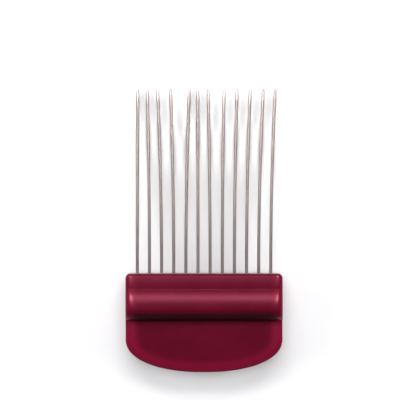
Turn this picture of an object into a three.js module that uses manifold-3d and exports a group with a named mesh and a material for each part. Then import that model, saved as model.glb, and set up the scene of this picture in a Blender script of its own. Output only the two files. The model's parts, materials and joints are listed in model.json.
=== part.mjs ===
// Quilling comb: a row of steel pins held in a moulded handle of two glued shells, lying face up on a table.
// Units are millimetres and +Z is up. Pieces are drawn in the comb's own frame: X runs across the handle, Y along
// the pins with Y = 0 at the handle's top face, and Z out of the front face with Z = 0 at the middle of the pins.
// The finished comb is then laid down, so that it rests on the ridge of its back and on the tips of its pins.

import * as THREE from "three";
import { mergeVertices } from "three/addons/utils/BufferGeometryUtils.js";
import Module from "manifold-3d";

const wasm = await Module();
wasm.setup();

// Pins
const PIN_COUNT = 12;
const PIN_PITCH = 4.8;
const PIN_DIAMETER = 1.25;
const PIN_REACH = 73; // from the handle's top face to the tip
const TIP_TAPER = 5; // length of the narrowing at the tip
const TIP_RADIUS = 0.4; // of the rounded nose
const HEAD_LEDGE = 0.6; // how far the anchoring head stands out round the pin
const HEAD_THICKNESS = 0.9;
// Use has bent each pin a little sideways: how far its tip is off the straight line, from left to right.
const TIP_OFFSETS = [0.2, -0.9, -1.6, -1.3, 1.4, -0.1, -0.8, 0.75, 1.1, 1.5, 1.9, 1.8];
const BEND_POWER = 2; // the bend grows with this power of the distance from the handle

// Handle, seen from the front
const END_MARGIN = 4.6; // from the middle of an outer pin to the handle's side
const CORNER_RADIUS = 1.8; // top corners
const BAND_HEIGHT = 6.1; // plain band under the top face
const FLANK_HEIGHT = 7.6; // ridge, from its crease at the band up to its crest
const LEDGE_ROUND = 4.7; // ridge, from its crest down to the foot of the ledge
const LEDGE_FILLET = 0.8; // in the corner between ledge and plate
const PLATE_HEIGHT = 20.7; // grip plate, from the foot of the ledge to its lowest point
const CURVE_HEIGHT = 13.1; // how far up the sides the curved edge starts
const CURVE_POWER = 2.2; // 2 makes the curved edge an ellipse, and more makes it squarer

// Handle, seen from the side: depths run from the middle plane to one face
const BAND_DEPTH = 5.9; // at the crease
const BAND_CROWN = 0.4; // the band leans in by this much at its top
const TOP_ROUND = 1.3; // edge round between the top face and the band
const CREST_RISE = 1.85; // the ridge stands this far above the band
const PLATE_DEPTH = 2.4;
const END_ROUND = 5; // the ridge and the band fall away at the sides over this width
const END_DROP = 1.2; // by this much more than the plate does
const RIM_WIDTH = 5.5; // the plate thins towards its edge over this width
const RIM_DROP = 1.4;

// Inside the handle
const WALL = 2;
const TOP_WALL = 2.2;
const END_WALL = 2.2;
const HOLLOW_CHAMFER = 0.8;
const RIB_THICKNESS = 1.5;
const RIB_EVERY = 2; // a rib stands in every second gap between the pins
const CRADLE_HEIGHT = 1; // from the wall down to the pin bar's face
const BAR_HEIGHT = 6.5;
const SLOT_DEPTH = 0.6; // slots across the pin bar's faces, which the ribs enter
const BOSS_RADIUS = 2.4;
const BOSS_INSET = 1.6; // from the end wall to the middle of a boss
const PEG_RADIUS = 1.2;
const PEG_LENGTH = 1.2; // past the middle plane
const PEG_ROOT = 1.2; // sunk into its own shell
const SIDE_PEG_INSET = 14; // from the handle's side to a peg in the plate
const SIDE_PEG_DROP = 6.5; // from the foot of the ledge down to it
const LOW_PEG_RISE = 7.5; // from the handle's lowest point up to the middle peg

// Clearances
const PARTING_GAP = 0.3; // glue line between the shells
const SEAT_GAP = 0.3; // between pieces that bear on each other
const PIN_FIT = 0.2; // round a pin, in the bar and where it leaves the handle
const PEG_FIT = 0.2; // round a peg in its socket
const RIB_RELIEF = 0.25; // ribs and bosses stop this far short of the glue line

// Fineness of the curved surfaces
const PIN_SIDES = 12;
const PEG_SIDES = 16;
const SHANK_STEPS = 8;
const STATIONS = 40; // steps from side to side across the handle
const ARC_STEPS = 8;
const PLATE_SHARES = [0.2, 0.42, 0.58, 0.7, 0.8, 0.88, 0.94, 0.98, 1]; // rows of points down the plate

// Worked out from the sizes above
const PIN_RADIUS = PIN_DIAMETER / 2;
const HALF_WIDTH = ((PIN_COUNT - 1) * PIN_PITCH) / 2 + END_MARGIN;
const CREST_DEPTH = BAND_DEPTH + CREST_RISE;
const CREST_Y = -(BAND_HEIGHT + FLANK_HEIGHT);
const LEDGE_Y = CREST_Y - LEDGE_ROUND;
const LOWEST_Y = LEDGE_Y - PLATE_HEIGHT;
const CURVE_Y = LOWEST_Y + CURVE_HEIGHT;
const FLANK_RADIUS = (FLANK_HEIGHT ** 2 + CREST_RISE ** 2) / (2 * CREST_RISE);
const FLANK_CENTRE = CREST_DEPTH - FLANK_RADIUS;
const PARTING = PARTING_GAP / 2;
const RIB_FACE = PARTING + RIB_RELIEF;
const HOLLOW_HALF = HALF_WIDTH - END_WALL;
const HOLLOW_DEPTH = BAND_DEPTH - WALL;
const HOLLOW_LOW_Y = LEDGE_Y + WALL;
const BAR_DEPTH = HOLLOW_DEPTH - CRADLE_HEIGHT;
const BAR_TOP_Y = -(TOP_WALL + SEAT_GAP);
const BAR_LOW_Y = BAR_TOP_Y - BAR_HEIGHT;
const HEAD_TOP_Y = BAR_LOW_Y - SEAT_GAP;
const HEAD_LOW_Y = HEAD_TOP_Y - HEAD_THICKNESS;
const BACKING_TOP_Y = HEAD_LOW_Y - SEAT_GAP;
const BACKING_LOW_Y = BACKING_TOP_Y - RIB_THICKNESS;
const CUT_PAST = 1; // a cutting solid runs this far past what it cuts

const maroonPlastic = new THREE.MeshStandardMaterial({ color: 0x7d1733, roughness: 0.28, metalness: 0 });
const barPlastic = new THREE.MeshStandardMaterial({ color: 0xd8d2c6, roughness: 0.6, metalness: 0 });
const pinSteel = new THREE.MeshStandardMaterial({ color: 0xb9afa6, roughness: 0.3, metalness: 1 });

const clamp01 = (value) => Math.min(1, Math.max(0, value));

// Evenly spaced shares, from just above 0 to 1.
const shares = (count) => Array.from({ length: count }, (_, i) => (i + 1) / count);

// How far a quarter-round has fallen, from 0 at its crown to 1 at its outer edge.
const fall = (share) => 1 - Math.sqrt(1 - clamp01(share) ** 2);

// A closed three.js mesh as a solid that can be cut and joined.
function solidOf(geometry) {
  const bare = geometry.clone();
  bare.deleteAttribute("normal");
  bare.deleteAttribute("uv");
  const merged = mergeVertices(bare, 1e-4);
  const vertProperties = merged.attributes.position.array;
  const triVerts = new Uint32Array(merged.index.array);
  return new wasm.Manifold(new wasm.Mesh({ numProp: 3, vertProperties, triVerts }));
}

// A solid as a named, flat-shaded mesh.
function meshOf(name, solid, material) {
  const cut = solid.getMesh();
  const shared = new THREE.BufferGeometry();
  shared.setAttribute("position", new THREE.BufferAttribute(cut.vertProperties, 3));
  shared.setIndex(new THREE.BufferAttribute(cut.triVerts, 1));
  const geometry = shared.toNonIndexed();
  geometry.computeVertexNormals();
  const mesh = new THREE.Mesh(geometry, material);
  mesh.name = name;
  return mesh;
}

function boxSolid([x0, x1], [y0, y1], [z0, z1]) {
  const box = new THREE.BoxGeometry(x1 - x0, y1 - y0, z1 - z0);
  return solidOf(box.translate((x0 + x1) / 2, (y0 + y1) / 2, (z0 + z1) / 2));
}

// A round rod through the parting plane, along Z.
function pegSolid(radius, [x, y], [z0, z1]) {
  const rod = new THREE.CylinderGeometry(radius, radius, z1 - z0, PEG_SIDES).rotateX(Math.PI / 2);
  return solidOf(rod.translate(x, y, (z0 + z1) / 2));
}

// The clear hole for the pin at x, from y0 to y1 along the pin.
function pinHoleSolid(x, [y0, y1]) {
  const radius = PIN_RADIUS + PIN_FIT;
  const rod = new THREE.CylinderGeometry(radius, radius, y1 - y0, PIN_SIDES);
  return solidOf(rod.translate(x, (y0 + y1) / 2, 0));
}

// A closed solid through sections of equal length, given as [y, z] outlines at rising x. Each outline starts and ends
// on the base line. The end faces are fans: from the first point to those before the turn, and from the last point
// to the rest.
function loftSolid(sections, turn) {
  const count = sections[0].outline.length;
  const positions = sections.flatMap(({ x, outline }) => outline.flatMap(([y, z]) => [x, y, z]));
  const index = [];
  for (let s = 0; s + 1 < sections.length; s++) {
    for (let i = 0; i < count; i++) {
      const a = s * count + i;
      const b = s * count + ((i + 1) % count);
      index.push(a, b, a + count, b, b + count, a + count);
    }
  }
  const farStart = (sections.length - 1) * count;
  const addEndFaces = (a, b, c) => index.push(a, c, b, farStart + a, farStart + b, farStart + c);
  for (let i = 1; i < turn; i++) addEndFaces(0, i, i + 1);
  addEndFaces(0, turn, count - 1);
  for (let i = turn; i + 2 < count; i++) addEndFaces(count - 1, i, i + 1);
  const geometry = new THREE.BufferGeometry();
  geometry.setAttribute("position", new THREE.Float32BufferAttribute(positions, 3));
  geometry.setIndex(index);
  return solidOf(geometry);
}

// Y of the plate's curved edge at x: the lower half of a superellipse as wide as the handle.
function edgeY(x) {
  const across = clamp01(Math.abs(x) / HALF_WIDTH);
  return CURVE_Y - CURVE_HEIGHT * (1 - across ** CURVE_POWER) ** (1 / CURVE_POWER);
}

// How far the face at x, y has dropped because the handle thins towards its edge. The distances to the side and to
// the curved edge are blended, so that the two rounded rims run into each other in the corner.
function rimDrop(x, y) {
  const step = 0.01;
  const blend = 3;
  const across = Math.abs(x);
  const slope = (edgeY(across) - edgeY(across - step)) / step;
  const toSide = Math.max(HALF_WIDTH - across, 1e-6);
  const toCurve = Math.max((y - edgeY(x)) / Math.hypot(1, slope), 1e-6);
  const distance = (toSide ** -blend + toCurve ** -blend) ** (-1 / blend);
  return RIM_DROP * fall(1 - distance / RIM_WIDTH);
}

// The section of the band, the ridge and the ledge at the middle of the handle, as [y, z] points from the top face
// down to the plate.
function ridgeProfile() {
  const quarter = Math.PI / 2;
  const bandTop = BAND_DEPTH - BAND_CROWN;
  const ledgeDrop = CREST_DEPTH - PLATE_DEPTH - LEDGE_FILLET;
  const points = [[0, bandTop - TOP_ROUND]];
  for (const t of shares(ARC_STEPS - 2)) {
    const out = TOP_ROUND * (1 - Math.cos(t * quarter));
    points.push([-out, bandTop - TOP_ROUND * (1 - Math.sin(t * quarter))]);
  }
  for (const t of shares(ARC_STEPS / 2)) {
    const down = TOP_ROUND + (BAND_HEIGHT - TOP_ROUND) * t;
    points.push([-down, BAND_DEPTH - BAND_CROWN * (1 - t) ** 2]);
  }
  for (const t of shares(ARC_STEPS)) {
    const toCrest = FLANK_HEIGHT * (1 - t);
    points.push([CREST_Y + toCrest, FLANK_CENTRE + Math.sqrt(FLANK_RADIUS ** 2 - toCrest ** 2)]);
  }
  for (const t of shares(ARC_STEPS + 1)) {
    const down = LEDGE_ROUND * Math.sin(t * quarter);
    points.push([CREST_Y - down, CREST_DEPTH - ledgeDrop * (1 - Math.cos(t * quarter))]);
  }
  for (const t of shares(ARC_STEPS / 2)) {
    const out = LEDGE_FILLET * (1 - Math.cos(t * quarter));
    points.push([LEDGE_Y - out, PLATE_DEPTH + LEDGE_FILLET * (1 - Math.sin(t * quarter))]);
  }
  return points;
}

// The ridge profile as it stands at x: its top corner is rounded off, and its face falls away at the sides.
function profileAt(x, profile) {
  const toSide = HALF_WIDTH - Math.abs(x);
  const corner = CORNER_RADIUS * fall(1 - toSide / CORNER_RADIUS);
  const keep = 1 - (END_DROP / (CREST_DEPTH - PLATE_DEPTH)) * fall(1 - toSide / END_ROUND);
  return profile.map(([y, z]) => {
    const shrink = clamp01(1 + y / BAND_HEIGHT);
    return [y - corner * shrink, PLATE_DEPTH - rimDrop(x, y) + (z - PLATE_DEPTH) * keep];
  });
}

// Half of the handle as one solid body, in front of the glue line.
function halfHandleSolid() {
  const profile = ridgeProfile();
  const plateTop = LEDGE_Y - LEDGE_FILLET;
  const sections = [];
  for (let s = 0; s <= STATIONS; s++) {
    const x = HALF_WIDTH * Math.sin((s / STATIONS - 0.5) * Math.PI);
    const lowY = edgeY(x);
    const upper = profileAt(x, profile);
    const plate = PLATE_SHARES.map((share) => {
      const y = plateTop + (lowY - plateTop) * share;
      return [y, PLATE_DEPTH - rimDrop(x, y)];
    });
    sections.push({ x, outline: [[upper[0][0], PARTING], ...upper, ...plate, [lowY, PARTING]] });
  }
  return loftSolid(sections, profile.length);
}

// The hollow inside the ridge, before its ribs: the ridge's section taken in by the wall.
function hollowSolid() {
  const innerFlank = FLANK_RADIUS - WALL;
  const innerHeight = (FLANK_HEIGHT * innerFlank) / FLANK_RADIUS;
  const outline = [
    [-TOP_WALL, -CUT_PAST],
    [-TOP_WALL, HOLLOW_DEPTH - HOLLOW_CHAMFER],
    [-TOP_WALL - HOLLOW_CHAMFER, HOLLOW_DEPTH],
  ];
  for (const t of [0, ...shares(ARC_STEPS - 1)]) {
    const toCrest = innerHeight * (1 - t);
    outline.push([CREST_Y + toCrest, FLANK_CENTRE + Math.sqrt(innerFlank ** 2 - toCrest ** 2)]);
  }
  for (const t of shares(ARC_STEPS - 1)) {
    const angle = (t * Math.PI) / 2;
    const down = (CREST_Y - HOLLOW_LOW_Y) * Math.sin(angle);
    outline.push([CREST_Y - down, CREST_DEPTH - WALL - (CREST_Y - HOLLOW_LOW_Y) * (1 - Math.cos(angle))]);
  }
  outline.push([HOLLOW_LOW_Y, -CUT_PAST]);
  return loftSolid([{ x: -HOLLOW_HALF, outline }, { x: HOLLOW_HALF, outline }], outline.length - 2);
}

function pinPlaces() {
  return Array.from({ length: PIN_COUNT }, (_, i) => (i - (PIN_COUNT - 1) / 2) * PIN_PITCH);
}

// The ribs stand between the pins, in every RIB_EVERY-th gap.
function ribPlaces() {
  const gaps = pinPlaces().slice(1);
  return gaps.map((x) => x - PIN_PITCH / 2).filter((_, i) => i % RIB_EVERY === RIB_EVERY - 1);
}

// Two bosses join the end walls, half way between the backing rib and the foot of the ledge.
function bossPlaces() {
  const x = HOLLOW_HALF - BOSS_INSET;
  const y = (BACKING_LOW_Y + HOLLOW_LOW_Y) / 2;
  return [[-x, y], [x, y]];
}

// Pegs locate the shells on each other: one in each boss and three in the plate.
function pegPlaces() {
  const x = HALF_WIDTH - SIDE_PEG_INSET;
  const y = LEDGE_Y - SIDE_PEG_DROP;
  return [...bossPlaces(), [-x, y], [x, y], [0, LOWEST_Y + LOW_PEG_RISE]];
}

// One shell, face up: half the handle, hollowed out around its ribs and bosses, with a half-round notch for each pin.
function shellSolid() {
  const inFull = [RIB_FACE, CREST_DEPTH];
  const cradle = [BAR_DEPTH - SLOT_DEPTH + SEAT_GAP, CREST_DEPTH];
  let hollow = hollowSolid();
  hollow = hollow.subtract(boxSolid([-HALF_WIDTH, HALF_WIDTH], [BACKING_LOW_Y, BACKING_TOP_Y], inFull));
  for (const middle of ribPlaces()) {
    const across = [middle - RIB_THICKNESS / 2, middle + RIB_THICKNESS / 2];
    const overlap = RIB_THICKNESS / 2;
    hollow = hollow.subtract(boxSolid(across, [BACKING_TOP_Y - overlap, 0], cradle));
    hollow = hollow.subtract(boxSolid(across, [LEDGE_Y, BACKING_LOW_Y + overlap], inFull));
  }
  for (const place of bossPlaces()) hollow = hollow.subtract(pegSolid(BOSS_RADIUS, place, inFull));
  let shell = halfHandleSolid().subtract(hollow);
  for (const x of pinPlaces()) shell = shell.subtract(pinHoleSolid(x, [-TOP_WALL - CUT_PAST, CUT_PAST]));
  return shell;
}

function frontShell() {
  let shell = shellSolid();
  for (const place of pegPlaces()) {
    shell = shell.add(pegSolid(PEG_RADIUS, place, [-PEG_LENGTH, PEG_ROOT]));
  }
  return meshOf("front_shell", shell, maroonPlastic);
}

// The rear shell is made face up, with sockets in place of the pegs, and mirrored to face down.
function rearShell() {
  let shell = shellSolid();
  for (const place of pegPlaces()) {
    shell = shell.subtract(pegSolid(PEG_RADIUS + PEG_FIT, place, [-CUT_PAST, PEG_LENGTH + SEAT_GAP]));
  }
  const mesh = meshOf("rear_shell", shell, maroonPlastic);
  mesh.scale.z = -1;
  return mesh;
}

// The bar that holds the pins at their pitch, slotted across both faces where the ribs grip it.
function pinBar() {
  const half = HOLLOW_HALF - SEAT_GAP;
  const slotHalf = RIB_THICKNESS / 2 + SEAT_GAP;
  const full = [BAR_LOW_Y - CUT_PAST, BAR_TOP_Y + CUT_PAST];
  const floor = BAR_DEPTH - SLOT_DEPTH;
  const face = BAR_DEPTH + CUT_PAST;
  let bar = boxSolid([-half, half], [BAR_LOW_Y, BAR_TOP_Y], [-BAR_DEPTH, BAR_DEPTH]);
  for (const middle of ribPlaces()) {
    const across = [middle - slotHalf, middle + slotHalf];
    bar = bar.subtract(boxSolid(across, full, [floor, face]));
    bar = bar.subtract(boxSolid(across, full, [-face, -floor]));
  }
  for (const x of pinPlaces()) bar = bar.subtract(pinHoleSolid(x, full));
  return meshOf("pin_bar", bar, barPlastic);
}

// A pin is turned about its own line, from its head to its nose, and then bent sideways outside the handle.
function pin(number, x, tipOffset) {
  const shankEnd = PIN_REACH - TIP_TAPER;
  const noseY = PIN_REACH - TIP_RADIUS;
  const headRadius = PIN_RADIUS + HEAD_LEDGE;
  const profile = [
    [0, HEAD_LOW_Y],
    [headRadius, HEAD_LOW_Y],
    [headRadius, HEAD_TOP_Y],
    [PIN_RADIUS, HEAD_TOP_Y],
    [PIN_RADIUS, 0],
  ];
  for (const t of shares(SHANK_STEPS)) profile.push([PIN_RADIUS, shankEnd * t]);
  for (const angle of [0, Math.PI / 4]) {
    profile.push([TIP_RADIUS * Math.cos(angle), noseY + TIP_RADIUS * Math.sin(angle)]);
  }
  profile.push([0, PIN_REACH]);
  const points = profile.map(([radius, y]) => new THREE.Vector2(radius, y));
  const geometry = new THREE.LatheGeometry(points, PIN_SIDES);
  const position = geometry.attributes.position;
  for (let i = 0; i < position.count; i++) {
    const along = Math.max(0, position.getY(i) / PIN_REACH);
    position.setX(i, position.getX(i) + tipOffset * along ** BEND_POWER);
  }
  geometry.translate(x, 0, 0);
  return meshOf(`pin_${String(number).padStart(2, "0")}`, solidOf(geometry), pinSteel);
}

// The comb's lean when it lies down: the slope of the line under its back that touches the ridge's round flank
// and the noses of the pins.
function restingTilt() {
  const along = PIN_REACH - TIP_RADIUS - CREST_Y;
  const inward = -FLANK_CENTRE;
  return Math.asin((FLANK_RADIUS - TIP_RADIUS) / Math.hypot(along, inward)) - Math.atan2(inward, along);
}

const handle = new THREE.Group();
handle.add(frontShell(), rearShell(), pinBar());

const pins = new THREE.Group();
pinPlaces().forEach((x, i) => pins.add(pin(i + 1, x, TIP_OFFSETS[i % TIP_OFFSETS.length])));

const comb = new THREE.Group();
comb.add(handle, pins);
comb.rotation.x = -restingTilt();

// The part's origin is on the table, under the middle of the comb.
const reach = new THREE.Box3().setFromObject(comb, true);
const middle = reach.getCenter(new THREE.Vector3());
comb.position.set(-middle.x, -middle.y, -reach.min.z);

const part = new THREE.Group();
part.add(comb);

export default part;
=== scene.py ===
import json
import math

import bmesh
import bpy
import numpy as np
from mathutils import Matrix


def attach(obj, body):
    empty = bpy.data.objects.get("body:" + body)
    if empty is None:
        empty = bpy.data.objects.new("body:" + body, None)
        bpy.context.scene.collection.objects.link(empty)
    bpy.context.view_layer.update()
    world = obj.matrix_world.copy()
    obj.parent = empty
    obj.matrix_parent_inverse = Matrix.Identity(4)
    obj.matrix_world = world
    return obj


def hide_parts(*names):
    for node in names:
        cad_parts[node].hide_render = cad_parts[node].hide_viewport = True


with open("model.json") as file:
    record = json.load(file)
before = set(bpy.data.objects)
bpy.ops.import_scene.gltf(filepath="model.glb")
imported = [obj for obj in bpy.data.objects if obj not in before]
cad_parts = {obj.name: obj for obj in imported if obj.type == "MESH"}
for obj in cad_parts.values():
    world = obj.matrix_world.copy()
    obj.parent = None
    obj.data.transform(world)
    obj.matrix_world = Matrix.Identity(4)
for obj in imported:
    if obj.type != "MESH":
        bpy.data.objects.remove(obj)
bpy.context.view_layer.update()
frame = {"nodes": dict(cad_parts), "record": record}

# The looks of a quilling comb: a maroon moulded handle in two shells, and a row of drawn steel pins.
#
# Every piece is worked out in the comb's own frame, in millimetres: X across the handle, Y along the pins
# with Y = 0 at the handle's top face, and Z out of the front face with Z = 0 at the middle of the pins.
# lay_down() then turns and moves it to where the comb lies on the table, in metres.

MM = 0.001
QUARTER = math.pi / 2

# Pins
PIN_COUNT = 12
PIN_PITCH = 4.8
PIN_RADIUS = 0.625
PIN_REACH = 73.0
PIN_SIDES = 28
TIP_TAPER = 5.0
TIP_RADIUS = 0.4
TAPER_POWER = 1.5
HEAD_RADIUS = 1.225
HEAD_ROUND = 0.15
HEAD_TOP_Y = -9.3
HEAD_LOW_Y = -10.2
# How far each pin's tip is bent off the straight line, from left to right.
TIP_OFFSETS = [0.2, -0.9, -1.6, -1.3, 1.4, -0.1, -0.8, 0.75, 1.1, 1.5, 1.9, 1.8]
BEND_POWER = 2.0

# Handle, seen from the front
HALF_WIDTH = 31.0
CORNER_RADIUS = 1.8
BAND_HEIGHT = 6.1
FLANK_HEIGHT = 7.6
LEDGE_ROUND = 4.7
LEDGE_FILLET = 0.8
PLATE_HEIGHT = 20.7
CURVE_HEIGHT = 13.1
CURVE_POWER = 2.2

# Handle, seen from the side: depths run from the middle plane to one face
BAND_DEPTH = 5.9
BAND_CROWN = 0.4
TOP_ROUND = 1.3
CREST_RISE = 1.83  # a hair under the solids' 1.85, so that the smooth crest stays inside their flat facets
PLATE_DEPTH = 2.4
END_ROUND = 5.0
END_DROP = 1.2
RIM_WIDTH = 5.5
RIM_DROP = 1.4

# Inside and between the shells
WALL = 2.0
TOP_WALL = 2.2
END_WALL = 2.2
HOLLOW_CHAMFER = 0.8  # where the hollow's roof meets the top wall
CREASE_EASE = 0.09  # between the points that ease the crease at the foot of the band
SEAM_GAP = 0.02  # from the middle plane to a shell's glued face
SEAM_ROUND = 0.16  # edge round along the seam
HOLE_RADIUS = 0.66  # where a pin leaves the handle
DIMPLE_WIDTH = 0.42  # shallow dimple round each hole
DIMPLE_DEPTH = 0.22
# Heights of the points on a side wall, as shares of the wall, closer together towards the seam.
WALL_STEPS = np.array([0.75, 0.5, 0.3, 0.18, 0.12, 0.07, 0.03, 0.0])

CREST_Y = -(BAND_HEIGHT + FLANK_HEIGHT)
CREST_DEPTH = BAND_DEPTH + CREST_RISE
LEDGE_Y = CREST_Y - LEDGE_ROUND
PLATE_TOP_Y = LEDGE_Y - LEDGE_FILLET
LOWEST_Y = LEDGE_Y - PLATE_HEIGHT
CURVE_Y = LOWEST_Y + CURVE_HEIGHT
FLANK_RADIUS = (FLANK_HEIGHT**2 + CREST_RISE**2) / (2 * CREST_RISE)
FLANK_CENTRE = CREST_DEPTH - FLANK_RADIUS
HOLLOW_HALF = HALF_WIDTH - END_WALL
PIN_PLACES = (np.arange(PIN_COUNT) - (PIN_COUNT - 1) / 2) * PIN_PITCH

# How the comb lies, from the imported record: its front plate's face gives the lean and the place.
MOUNT_Y = -26.5
front_flat = next(m for m in frame["record"]["mounts"] if m["name"] == "front_plate_flat")
LEAN = math.atan2(front_flat["axis"][1], front_flat["axis"][2])
TURN = np.array([
    [1, 0, 0],
    [0, math.cos(LEAN), math.sin(LEAN)],
    [0, -math.sin(LEAN), math.cos(LEAN)],
])
ORIGIN = np.array(front_flat["pos_m"]) - TURN @ (np.array([0, MOUNT_Y, PLATE_DEPTH]) * MM)


def lay_down(points):
    """Points in the comb's frame, in millimetres, as points on the table, in metres: R p + o."""
    return (np.asarray(points, float) * MM) @ TURN.T + ORIGIN


def fall(share):
    """How far a quarter-round has fallen: 1 - sqrt(1 - s^2), with s kept from 0 to 1."""
    s = np.clip(share, 0, 1)
    return 1 - np.sqrt(1 - s * s)


def smooth(low, high, value):
    """A smooth step 3t^2 - 2t^3 from 0 at low to 1 at high."""
    t = np.clip((value - low) / (high - low), 0, 1)
    return t * t * (3 - 2 * t)


def sweep(start, stop, count):
    """count angles after start, up to and with stop."""
    return np.linspace(start, stop, count + 1)[1:]


# Mesh making


def grid_faces(rows, columns):
    """The quads of a rows by columns grid of points, whose last column joins the first."""
    r, c = np.meshgrid(np.arange(rows - 1), np.arange(columns), indexing="ij")
    right = (c + 1) % columns
    below = (r + 1) * columns
    quads = np.stack([r * columns + c, r * columns + right, below + right, below + c], axis=-1)
    return quads.reshape(-1, 4)


def mesh_object(name, points, faces, material, body="root"):
    """A smooth-shaded mesh object that rides on a body, from points on the table and a list of faces."""
    mesh = bpy.data.meshes.new(name)
    mesh.from_pydata(np.asarray(points, float).tolist(), [], [list(map(int, f)) for f in faces])
    mesh.validate()
    mesh.polygons.foreach_set("use_smooth", np.ones(len(mesh.polygons), bool))
    mesh.update()
    piece = bpy.data.objects.new(name, mesh)
    bpy.context.scene.collection.objects.link(piece)
    mesh.materials.append(material)
    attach(piece, body)
    return piece


def set_attribute(piece, name, values):
    """Writes one number for each point of a piece."""
    layer = piece.data.attributes.new(name, "FLOAT", "POINT")
    layer.data.foreach_set("value", np.asarray(values, float))


def close_seams(piece):
    """Merges doubled points and drops faces without area, and turns every face outwards."""
    closest = 1e-7
    mesh = bmesh.new()
    mesh.from_mesh(piece.data)
    bmesh.ops.remove_doubles(mesh, verts=mesh.verts, dist=closest)
    bmesh.ops.dissolve_degenerate(mesh, edges=mesh.edges, dist=closest)
    bmesh.ops.recalc_face_normals(mesh, faces=mesh.faces)
    mesh.to_mesh(piece.data)
    mesh.free()


# The handle's form


def edge_y(x):
    """Y of the plate's curved edge: the lower half of the superellipse |x/a|^p + |y/b|^p = 1."""
    across = np.clip(np.abs(x) / HALF_WIDTH, 0, 1)
    return CURVE_Y - CURVE_HEIGHT * (1 - across**CURVE_POWER) ** (1 / CURVE_POWER)


def edge_slope(x):
    """How steeply the curved edge rises towards the sides, at most 200."""
    across = np.clip(np.abs(x) / HALF_WIDTH, 1e-6, 1 - 1e-7)
    rest = 1 - across**CURVE_POWER
    slope = CURVE_HEIGHT / HALF_WIDTH * across ** (CURVE_POWER - 1) * rest ** (1 / CURVE_POWER - 1)
    return np.minimum(slope, 200)


def rim_share(x, y):
    """1 at the plate's edge and 0 a rim's width inside it: 1 - d / width, where 1/d^3 is the sum of 1/d^3
    for the distances to the side and to the curved edge, so that the two rims blend in the corner."""
    to_side = np.maximum(HALF_WIDTH - np.abs(x), 1e-6)
    to_curve = np.maximum((y - edge_y(x)) / np.hypot(1, edge_slope(x)), 1e-6)
    distance = (to_side**-3 + to_curve**-3) ** (-1 / 3)
    return np.clip(1 - distance / RIM_WIDTH, 0, 1)


def rim_drop(x, y):
    """The plate's fall towards its edge, a quarter-ellipse of the share of the rim."""
    return RIM_DROP * fall(rim_share(x, y))


def painted_glow_share(points):
    """How much painted glow a point gets, a lighter colour that stands in for light through the plastic: 1
    on the plate's outer rim, 0 inside it, and only a third as much on the thicker ridge and band."""
    x = points[..., 0]
    y = points[..., 1]
    full_from = 0.55
    lost_on_ridge = 0.67
    on_ridge = smooth(PLATE_TOP_Y - 1, LEDGE_Y + 1, y)
    return smooth(0, full_from, rim_share(x, y)) * (1 - lost_on_ridge * on_ridge)


def painted_shade_share(points):
    """How much painted shade a point gets, a darker colour in the corner under the ledge: 1 on the ledge's
    steep lower half, falling to 0 towards the crest, at the foot and over the last few millimetres at both
    sides."""
    x = np.abs(points[..., 0])
    y = points[..., 1]
    side_fade = 5
    under_crest = smooth(CREST_Y - 0.5, CREST_Y - 2.6, y)
    above_foot = smooth(PLATE_TOP_Y - 0.2, LEDGE_Y, y)
    return under_crest * above_foot * smooth(HALF_WIDTH, HALF_WIDTH - side_fade, x)


def ridge_section():
    """The middle section from the top round to the foot of the ledge, as rows of y and z: an edge round,
    the slightly crowned band, the flank's arc up to the crest, the ledge's quarter-ellipse and the foot's
    fillet. The crease between band and flank is eased by a short running mean."""
    band_ease = CREASE_EASE / BAND_HEIGHT * np.array([2, 1, 0])
    flank_ease = CREASE_EASE / FLANK_HEIGHT * np.array([1, 2])
    edge = sweep(0, QUARTER, 10)
    down = np.concatenate([np.linspace(0, 1, 13)[1:-1], 1 - band_ease])
    up = FLANK_HEIGHT * np.concatenate([1 - flank_ease, np.linspace(1, 0, 26)[1:]])
    ledge = sweep(0, QUARTER, 26)
    foot = sweep(0, QUARTER, 8)
    ledge_drop = CREST_DEPTH - PLATE_DEPTH - LEDGE_FILLET
    y = np.concatenate([
        -TOP_ROUND * (1 - np.cos(edge)),
        -TOP_ROUND - (BAND_HEIGHT - TOP_ROUND) * down,
        CREST_Y + up,
        CREST_Y - LEDGE_ROUND * np.sin(ledge),
        LEDGE_Y - LEDGE_FILLET * (1 - np.cos(foot)),
    ])
    z = np.concatenate([
        BAND_DEPTH - BAND_CROWN - TOP_ROUND * (1 - np.sin(edge)),
        BAND_DEPTH - BAND_CROWN * (1 - down) ** 2,
        FLANK_CENTRE + np.sqrt(FLANK_RADIUS**2 - up**2),
        CREST_DEPTH - ledge_drop * (1 - np.cos(ledge)),
        PLATE_DEPTH + LEDGE_FILLET * (1 - np.sin(foot)),
    ])
    near_crease = np.abs(y + BAND_HEIGHT) < 1.5 * CREASE_EASE
    eased = np.convolve(np.pad(z, 1, mode="edge"), [0.25, 0.5, 0.25], "valid")
    return y, np.where(near_crease, eased, z)


def stations():
    """Places across the handle: closer towards the sides, where it is rounded, and close round each pin.
    Each side of the hollow has two at one place, for the wall that stands there."""
    closest = 0.12
    even = HALF_WIDTH * np.sin(np.linspace(-1, 1, 97) * QUARTER)
    round_pin = HOLE_RADIUS * np.sin(np.linspace(-1, 1, 9) * QUARTER)
    beside = HOLE_RADIUS + DIMPLE_WIDTH * np.array([0.25, 0.5, 0.75, 1.0, 1.3])
    near = np.concatenate([-beside[::-1], round_pin, beside])
    pins = (PIN_PLACES[:, None] + near[None, :]).ravel()
    free = np.min(np.abs(even[:, None] - pins[None, :]), axis=1) > closest
    free &= np.abs(np.abs(even) - HOLLOW_HALF) > closest
    return np.sort(np.concatenate([even[free], pins, [-HOLLOW_HALF, HOLLOW_HALF]]))


def corner_drop(x):
    """How far the handle's top corners are rounded down: a quarter-circle of the distance to the side."""
    return CORNER_RADIUS * fall(1 - (HALF_WIDTH - np.abs(x)) / CORNER_RADIUS)


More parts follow.
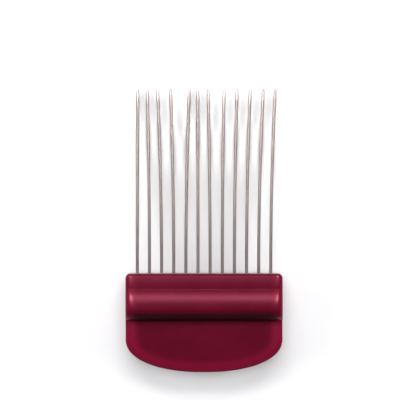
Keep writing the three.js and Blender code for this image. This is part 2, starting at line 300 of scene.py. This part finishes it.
def outer_faces(x):
    """Y and depth of the outer faces, one row for each place in the column x: the middle section, lower
    where the handle rounds off to its sides, and the plate, whose rows of points close up towards its
    edge."""
    section_y, section_z = ridge_section()
    flat_y = np.broadcast_to(section_y, (len(x), len(section_y)))
    end_share = fall(1 - (HALF_WIDTH - np.abs(x)) / END_ROUND)
    keep = 1 - END_DROP / (CREST_DEPTH - PLATE_DEPTH) * end_share
    ridge_z = PLATE_DEPTH - rim_drop(x, flat_y) + (section_z - PLATE_DEPTH) * keep
    ridge_y = flat_y - corner_drop(x) * np.clip(1 + flat_y / BAND_HEIGHT, 0, 1)
    share = 1 - (1 - np.linspace(0, 1, 44)[1:]) ** 2
    plate_y = PLATE_TOP_Y + (edge_y(x) - PLATE_TOP_Y) * share
    plate_z = PLATE_DEPTH - rim_drop(x, plate_y)
    return np.concatenate([ridge_y, plate_y], axis=1), np.concatenate([ridge_z, plate_z], axis=1)


def top_face(x, edge_z):
    """Y and depth of the top face, from the seam or a pin's notch up to depth edge_z, where the top round
    starts. Each pin leaves it in the middle of a dimple, a smooth step of the distance from the pin."""
    across = np.min(np.abs(x[..., None] - PIN_PLACES), axis=-1)
    notch = np.sqrt(np.maximum(HOLE_RADIUS**2 - across**2, 0))
    lift = np.array([0, 0.03, 0.07, 0.12, 0.18, 0.25, 0.34, 0.46, 0.62, 0.8])
    first = np.maximum(notch, SEAM_GAP)
    z = first + (edge_z - first) * lift
    from_pin = np.hypot(across, z)
    dimple = DIMPLE_DEPTH * (1 - smooth(HOLE_RADIUS, HOLE_RADIUS + DIMPLE_WIDTH, from_pin))
    return -corner_drop(x) - dimple, z


def hollow(x):
    """Y and depth of the glued face, and between the end walls of the hollow over it, from the rim back up
    to the top wall: a quarter-circle under the ledge, an arc under the flank and a chamfer at the top
    wall."""
    inner_radius = FLANK_RADIUS - WALL
    inner_height = FLANK_HEIGHT * inner_radius / FLANK_RADIUS
    low_round = CREST_Y - (LEDGE_Y + WALL)
    turn = sweep(0, QUARTER, 6)[::-1]
    climb = np.linspace(0, 1, 8) * inner_height
    y = np.concatenate([
        [CREST_Y - low_round],
        CREST_Y - low_round * np.sin(turn),
        CREST_Y + climb,
        [-TOP_WALL, -TOP_WALL],
    ])
    z = np.concatenate([
        [SEAM_GAP],
        CREST_DEPTH - WALL - low_round * (1 - np.cos(turn)),
        FLANK_CENTRE + np.sqrt(inner_radius**2 - climb**2),
        [BAND_DEPTH - WALL - HOLLOW_CHAMFER, SEAM_GAP],
    ])
    order = np.arange(len(x))
    left, right = np.flatnonzero(np.isclose(np.abs(x), HOLLOW_HALF))[[0, -1]]
    open_here = ((order > left) & (order < right))[:, None]
    return np.broadcast_to(y, (len(x), len(y))), np.where(open_here, z, SEAM_GAP)


def shell_points():
    """The front shell as a grid: one closed outline for each station across the handle. An outline runs up
    the top face from the seam, down over the band, ridge, ledge and plate to the rim, down the rim's wall
    to the seam, and back along the glued face and round the hollow to the notches for the pins. Returns the
    stations, Y and depth of each point, and how many columns are on the outside."""
    x = stations()
    column = x[:, None]
    face_y, face_z = outer_faces(column)
    top_y, top_z = top_face(column, face_z[:, :1])
    rim_z = SEAM_GAP + (face_z[:, -1:] - SEAM_GAP) * WALL_STEPS
    rim_y = np.broadcast_to(edge_y(column), rim_z.shape)
    back_y, back_z = hollow(x)
    back_z[:, -1:] = top_z[:, :1]
    down = np.concatenate([top_y, face_y, rim_y, back_y], axis=1)
    depth = np.concatenate([top_z, face_z, rim_z, back_z], axis=1)
    return x, down, depth, down.shape[1] - back_y.shape[1]


def add_end_walls(x, down, depth):
    """Closes the handle's two sides: past the last station the outline sinks to the seam in a few steps."""

    def sunk(row):
        return SEAM_GAP + (row - SEAM_GAP) * WALL_STEPS[:, None]

    count = len(WALL_STEPS)
    x = np.concatenate([np.full(count, x[0]), x, np.full(count, x[-1])])
    down = np.concatenate([np.repeat(down[:1], count, 0), down, np.repeat(down[-1:], count, 0)])
    depth = np.concatenate([sunk(depth[0])[::-1], depth, sunk(depth[-1])])
    return x, down, depth


def ease_seam(points, outer):
    """Rounds the outer edges along the seam: a point below the edge round moves in by
    r - sqrt(r^2 - (r - z)^2)."""
    x = points[..., 0]
    y = points[..., 1]
    low = np.clip(SEAM_ROUND - points[..., 2], 0, SEAM_ROUND)
    inward = SEAM_ROUND - np.sqrt(SEAM_ROUND**2 - low**2)
    inward[:, outer:] = 0
    slope = edge_slope(x)
    on_curve = y < CURVE_Y - 0.01
    on_side = ~on_curve & (HALF_WIDTH - np.abs(x) < 0.02)
    on_top = ~on_curve & ~on_side
    long = np.hypot(1, slope)
    shift_x = np.where(on_curve, np.sign(x) * slope / long, np.where(on_side, np.sign(x), 0))
    shift_y = np.where(on_curve, -1 / long, np.where(on_top, 1, 0))
    moved = points.copy()
    moved[..., 0] -= inward * shift_x
    moved[..., 1] -= inward * shift_y
    return moved


def shell(node, side, material):
    """The shell in place of a CAD node. side is 1 for the front and -1 for the rear, its mirror image."""
    x, down, depth, outer = shell_points()
    x, down, depth = add_end_walls(x, down, depth)
    points = np.stack([np.broadcast_to(x[:, None], down.shape), down, depth], axis=-1)
    points = ease_seam(points, outer)
    points[..., 2] *= side
    faces = grid_faces(*down.shape)
    if side > 0:
        faces = faces[:, ::-1]
    piece = mesh_object(f"{node}_skin", lay_down(points.reshape(-1, 3)), faces, material)
    # Painted glow: a lighter crimson on the plate's rim that stands in for light through the plastic.
    set_attribute(piece, "thin", painted_glow_share(points).ravel())
    # Painted shade: a darker colour in the corner under the ledge.
    set_attribute(piece, "corner", painted_shade_share(points).ravel())
    close_seams(piece)
    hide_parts(node)


# Pins


def pin_profile():
    """A pin's y and radius from its anchoring head to its nose: the head's round edge and flat top, the
    shank, a taper r = R + (R_tip - R) t^p, and a quarter-circle down to nothing."""
    inside_y = -5.0
    near_top_face_y = -0.5
    taper_start = PIN_REACH - TIP_TAPER
    nose_start = PIN_REACH - TIP_RADIUS
    lead = np.linspace(QUARTER, 0, 4)
    taper = np.linspace(0, 1, 7)[1:-1]
    nose = np.linspace(0, QUARTER, 9)
    shank_y = np.concatenate([[inside_y], np.linspace(near_top_face_y, taper_start, 44)])
    y = np.concatenate([
        [HEAD_LOW_Y],
        HEAD_LOW_Y + HEAD_ROUND * (1 - np.sin(lead)),
        [HEAD_TOP_Y, HEAD_TOP_Y],
        shank_y,
        taper_start + (nose_start - taper_start) * taper,
        nose_start + TIP_RADIUS * np.sin(nose),
    ])
    r = np.concatenate([
        [0],
        HEAD_RADIUS - HEAD_ROUND * (1 - np.cos(lead)),
        [HEAD_RADIUS, PIN_RADIUS],
        np.full(len(shank_y), PIN_RADIUS),
        PIN_RADIUS + (TIP_RADIUS - PIN_RADIUS) * taper**TAPER_POWER,
        TIP_RADIUS * np.cos(nose),
    ])
    return y, r


def pin(number, place, offset, material):
    """A drawn pin: circles of radius r(y) round the line x = place + offset (y / reach)^p."""
    y, r = pin_profile()
    angle = np.arange(PIN_SIDES) * 2 * math.pi / PIN_SIDES
    bend = offset * np.clip(y / PIN_REACH, 0, None) ** BEND_POWER
    points = np.stack([
        place + bend[:, None] + r[:, None] * np.cos(angle),
        y[:, None] + 0 * angle,
        r[:, None] * np.sin(angle),
    ], axis=-1)
    node = f"pin_{number:02d}"
    faces = grid_faces(len(y), PIN_SIDES)
    piece = mesh_object(f"{node}_wire", lay_down(points.reshape(-1, 3)), faces, material)
    close_seams(piece)
    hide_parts(node)


# Materials


class Wire:
    """A shader socket that Python's operators work on, each adding its Math node."""

    def __init__(self, finish, socket):
        self.finish = finish
        self.socket = socket

    def _with(self, operation, *values):
        return self.finish.node("ShaderNodeMath", {"operation": operation}, dict(enumerate(values)))

    def __add__(self, other):
        return self._with("ADD", self, other)

    __radd__ = __add__

    def __rsub__(self, other):
        return self._with("SUBTRACT", other, self)

    def __mul__(self, other):
        return self._with("MULTIPLY", self, other)

    __rmul__ = __mul__

    def step(self, low, high):
        """A smooth step from 0 at low to 1 at high."""
        settings = {"interpolation_type": "SMOOTHSTEP"}
        inputs = {"Value": self, "From Min": low, "From Max": high}
        return self.finish.node("ShaderNodeMapRange", settings, inputs)


class Finish:
    """A material that is being made for a surface."""

    def __init__(self, name):
        self.material = bpy.data.materials.new(name)
        self.material.use_nodes = True
        self.tree = self.material.node_tree
        self.shader = self.tree.nodes["Principled BSDF"]

    def node(self, kind, settings=None, inputs=None, output=0):
        """Adds a node: its settings first, then the value or link of each socket, by name or number."""
        made = self.tree.nodes.new(kind)
        for key, value in (settings or {}).items():
            setattr(made, key, value)
        for key, value in (inputs or {}).items():
            self.feed(made.inputs[key], value)
        return Wire(self, made.outputs[output])

    def feed(self, socket, value):
        if isinstance(value, Wire):
            self.tree.links.new(value.socket, socket)
        else:
            socket.default_value = value

    def set(self, **sockets):
        """Sets the shader's sockets. An underscore in a name stands for a space."""
        for name, value in sockets.items():
            self.feed(self.shader.inputs[name.replace("_", " ")], value)

    def place(self, turn=0, stretch=(1, 1, 1)):
        """Object coordinates in millimetres for a pattern that is turned by turn degrees about Z. Along its
        own axes the pattern is then squeezed by stretch."""
        inputs = {
            "Vector": self.node("ShaderNodeTexCoord", output="Object"),
            "Rotation": (0, 0, math.radians(turn)),
            "Scale": [MM / s for s in stretch],
        }
        return self.node("ShaderNodeMapping", {"vector_type": "TEXTURE"}, inputs)

    def attribute(self, name):
        """A number that the mesh carries at its points."""
        return self.node("ShaderNodeAttribute", {"attribute_name": name}, output="Fac")

    def noise(self, place, size, detail=2.0, roughness=0.5, warp=0.0):
        """Noise from 0 to 1 with features about size millimetres across."""
        inputs = {
            "Vector": place,
            "Scale": 1 / size,
            "Detail": detail,
            "Roughness": roughness,
            "Distortion": warp,
        }
        return self.node("ShaderNodeTexNoise", None, inputs)

    def blend(self, factor, a, b):
        """Colour a where factor is 0 and b where it is 1. Sockets 6 and 7 are a Mix node's two colours."""
        return self.node("ShaderNodeMix", {"data_type": "RGBA"}, {0: factor, 6: a, 7: b}, output=2)

    def bump(self, height, depth, normal=None):
        """A normal from height, where a height of 1 stands depth millimetres up."""
        inputs = {"Height": height, "Distance": depth * MM}
        if normal is not None:
            inputs["Normal"] = normal
        return self.node("ShaderNodeBump", None, inputs)


def maroon_plastic():
    """Glossy moulded plastic: faintly clouded maroon with a painted crimson glow where the plate thins to
    its rim, colour that stands in for light through the plastic, and painted shade, a darker colour, in the
    corner under the ledge, with a soft orange peel, hairline scratches and handling haze. Its sheen takes on
    the plastic's own red."""
    deep = (0.076, 0.0009, 0.0093, 1)
    bright = (0.087, 0.0012, 0.0112, 1)
    pale = (0.115, 0.0045, 0.0175, 1)
    # Painted glow: lighter crimson that stands in for light through the plate's rim.
    painted_glow = (0.158, 0.0042, 0.023, 1)
    # Painted shade: near-black colour for the corner under the ledge.
    painted_shade = (0.010, 0.0006, 0.0020, 1)
    finish = Finish("maroon_plastic")
    place = finish.place()
    cloud = finish.noise(place, size=13)
    fleck = finish.noise(place, size=0.5)
    peel = finish.noise(place, size=2.2, detail=1)
    haze = finish.noise(place, size=9, detail=3, roughness=0.55, warp=0.3)
    scratch_1 = finish.noise(finish.place(17, (0.07, 7, 1)), size=1, warp=0.1)
    scratch_2 = finish.noise(finish.place(-52, (0.09, 6, 1)), size=1, warp=0.1)
    scratches = scratch_1.step(0.7, 0.74) + scratch_2.step(0.71, 0.75)
    thin = finish.attribute("thin")
    corner = finish.attribute("corner")
    tone = finish.blend(cloud.step(0.35, 0.65), deep, bright)
    tone = finish.blend(fleck.step(0.68, 0.84) * 0.25, tone, pale)
    # Painted glow on the plate's rim.
    tone = finish.blend(thin, tone, painted_glow)
    finish.set(
        # Painted shade in the corner under the ledge; the same mask also roughens it.
        Base_Color=finish.blend(corner * 0.9, tone, painted_shade),
        Roughness=0.28 + haze.step(0.35, 0.9) * 0.05 + scratches * 0.1 + corner * 0.25,
        Normal=finish.bump(scratches, -0.004, normal=finish.bump(peel, 0.006)),
        IOR=1.49,
        Specular_Tint=(1.0, 0.24, 0.36, 1),
    )
    return finish.material


def drawn_steel():
    """Nickelled wire: fine drawing lines along the pin, faint long bands of tarnish, tiny specks, and
    painted shade, a darker colour over the last 30 mm towards the handle."""
    clean = (0.395, 0.334, 0.312, 1)
    dull = (0.3, 0.254, 0.243, 1)
    # Tone of the specks and of the painted shade near the handle.
    specks_and_shade_tone = (0.17, 0.157, 0.173, 1)
    darker_within = 30
    finish = Finish("drawn_steel")
    lines = finish.noise(finish.place(stretch=(9, 0.1, 9)), size=1, detail=3)
    bands = finish.noise(finish.place(stretch=(0.3, 0.07, 0.3)), size=1)
    specks = finish.noise(finish.place(), size=0.32)
    metres = finish.node("ShaderNodeTexCoord", output="Object")
    along = finish.node("ShaderNodeSeparateXYZ", None, {"Vector": metres}, output="Y") * (1 / MM)
    root_y = float(lay_down([0, 0, 0])[1]) / MM
    # Painted shade: the pins darken over the last 30 mm towards the handle.
    shade_near_handle = 1 - along.step(root_y, root_y + darker_within)
    tone = finish.blend(bands.step(0.3, 0.75) * 0.5 + lines.step(0.5, 0.7) * 0.15, clean, dull)
    tone = finish.blend(shade_near_handle * 0.45, tone, specks_and_shade_tone)
    finish.set(
        Base_Color=finish.blend(specks.step(0.7, 0.8) * 0.35, tone, specks_and_shade_tone),
        Roughness=0.3 + lines * 0.12 + bands.step(0.45, 0.8) * 0.08,
        Normal=finish.bump(lines, 0.006),
        Metallic=1.0,
    )
    return finish.material


def bar_plastic():
    """Plain natural moulded plastic with a fine grain."""
    darker = (0.62, 0.58, 0.50, 1)
    lighter = (0.72, 0.68, 0.60, 1)
    finish = Finish("bar_plastic")
    place = finish.place()
    grain = finish.noise(place, size=0.6, detail=3)
    cloud = finish.noise(place, size=5)
    finish.set(
        Base_Color=finish.blend(cloud.step(0.3, 0.7), darker, lighter),
        Roughness=0.5 + grain * 0.15,
        Normal=finish.bump(grain, 0.02),
    )
    return finish.material


def table_finish():
    """A plain pale table with hardly any grain."""
    pale = (0.93, 0.93, 0.945, 1)
    paler = (0.95, 0.95, 0.96, 1)
    finish = Finish("pale_table")
    grain = finish.noise(finish.place(), size=40)
    finish.set(Base_Color=finish.blend(grain, pale, paler), Roughness=0.6)
    return finish.material


# Table, lights and camera


def table():
    """A large pale disc under the comb."""
    radius = 4.0
    height = -2e-5
    angle = np.linspace(0, 2 * math.pi, 96, endpoint=False)
    ring = np.stack([radius * np.cos(angle), radius * np.sin(angle), 0 * angle + height], axis=-1)
    mesh = bpy.data.meshes.new("table")
    mesh.from_pydata(ring.tolist(), [], [list(range(len(angle)))])
    mesh.materials.append(table_finish())
    top = bpy.data.objects.new("table", mesh)
    bpy.context.scene.collection.objects.link(top)


def place_in_studio(name, data, place, across, away):
    """Adds a lamp or a camera at a place of the comb's frame. Its own X runs along across, and it looks
    along the opposite of away."""
    z = np.array(away, float) / np.linalg.norm(away)
    x = np.array(across, float) - np.dot(across, z) * z
    x /= np.linalg.norm(x)
    axes = TURN @ np.stack([x, np.cross(z, x), z], axis=1)
    piece = bpy.data.objects.new(name, data)
    piece.location = lay_down(place)
    piece.rotation_euler = Matrix(axes.tolist()).to_euler()
    bpy.context.scene.collection.objects.link(piece)
    return piece


def softbox(name, lean, around, long, short, power, target=(0, 0, 0), distance=600.0):
    """A rectangular soft light that looks at target. lean is its angle from the comb's face normal in
    degrees, and around the side it leans to: 0 for the pins' side, 90 for the right, 180 for the plate's
    side. Its long side stands square to its lean. Returns the lamp."""
    a = math.radians(lean)
    b = math.radians(around)
    away = np.array([math.sin(a) * math.sin(b), math.sin(a) * math.cos(b), math.cos(a)])
    data = bpy.data.lights.new(name, "AREA")
    data.shape = "RECTANGLE"
    data.size = long * MM
    data.size_y = short * MM
    data.energy = power
    across = [math.cos(b), -math.sin(b), 0]
    return place_in_studio(name, data, np.array(target) + away * distance, across, away)


def studio():
    """Soft studio light: a key softbox beyond the pins, one overhead, a low one in front and one at each
    side. These leave no reflections of their own. A strip light draws the long highlight on the ridge, two
    small lamps the glints at its ends, and a dim card in front shows in the steel from behind. These give
    no light to matt surfaces. The surround is dim."""
    pins_low = (0, 20, 0)
    light_only = [
        softbox("key_softbox", lean=42, around=0, long=900, short=300, power=5.8, distance=900),
        softbox("overhead_softbox", lean=4, around=0, long=700, short=420, power=2.6, distance=900),
        softbox("front_softbox", lean=88, around=180, long=500, short=60, power=0.15),
        softbox("left_softbox", lean=66, around=-85, long=420, short=140, power=2.8, target=pins_low),
        softbox("right_softbox", lean=66, around=85, long=420, short=140, power=2.5, target=pins_low),
    ]
    for lamp in light_only:
        lamp.visible_glossy = False
    reflected_only = [
        softbox("strip_light", lean=26.5, around=0, long=1200, short=150, power=4.6),
        softbox("left_lamp", lean=46, around=-60, long=60, short=30, power=1.9),
        softbox("right_lamp", lean=46, around=60, long=60, short=30, power=1.4),
        softbox("front_card", lean=52, around=180, long=900, short=320, power=0.3),
    ]
    for lamp in reflected_only:
        lamp.visible_diffuse = False
    world = bpy.data.worlds.new("studio")
    world.use_nodes = True
    background = world.node_tree.nodes["Background"]
    background.inputs["Color"].default_value = (0.95, 0.96, 1.0, 1)
    background.inputs["Strength"].default_value = 0.03
    bpy.context.scene.world = world


def camera():
    """A long lens square to the comb's face. The picture is 400 pixels wide and takes in 158.3 mm."""
    picture_width = 158.3
    picture_centre = np.array([-1.6, 29.0, 0])
    distance = 900.0
    data = bpy.data.cameras.new("camera")
    data.sensor_width = 36.0
    data.lens = data.sensor_width * distance / picture_width
    data.clip_start = 0.01
    data.clip_end = 20
    eye = place_in_studio("camera", data, picture_centre + [0, 0, distance], [1, 0, 0], [0, 0, 1])
    bpy.context.scene.camera = eye


def build():
    plastic = maroon_plastic()
    shell("front_shell", 1, plastic)
    shell("rear_shell", -1, plastic)
    steel = drawn_steel()
    for number, (place, offset) in enumerate(zip(PIN_PLACES, TIP_OFFSETS), start=1):
        pin(number, place, offset, steel)
    frame["nodes"]["pin_bar"].material_slots[0].material = bar_plastic()
    table()
    studio()
    camera()
    bpy.context.scene.view_settings.view_transform = "Standard"


build()
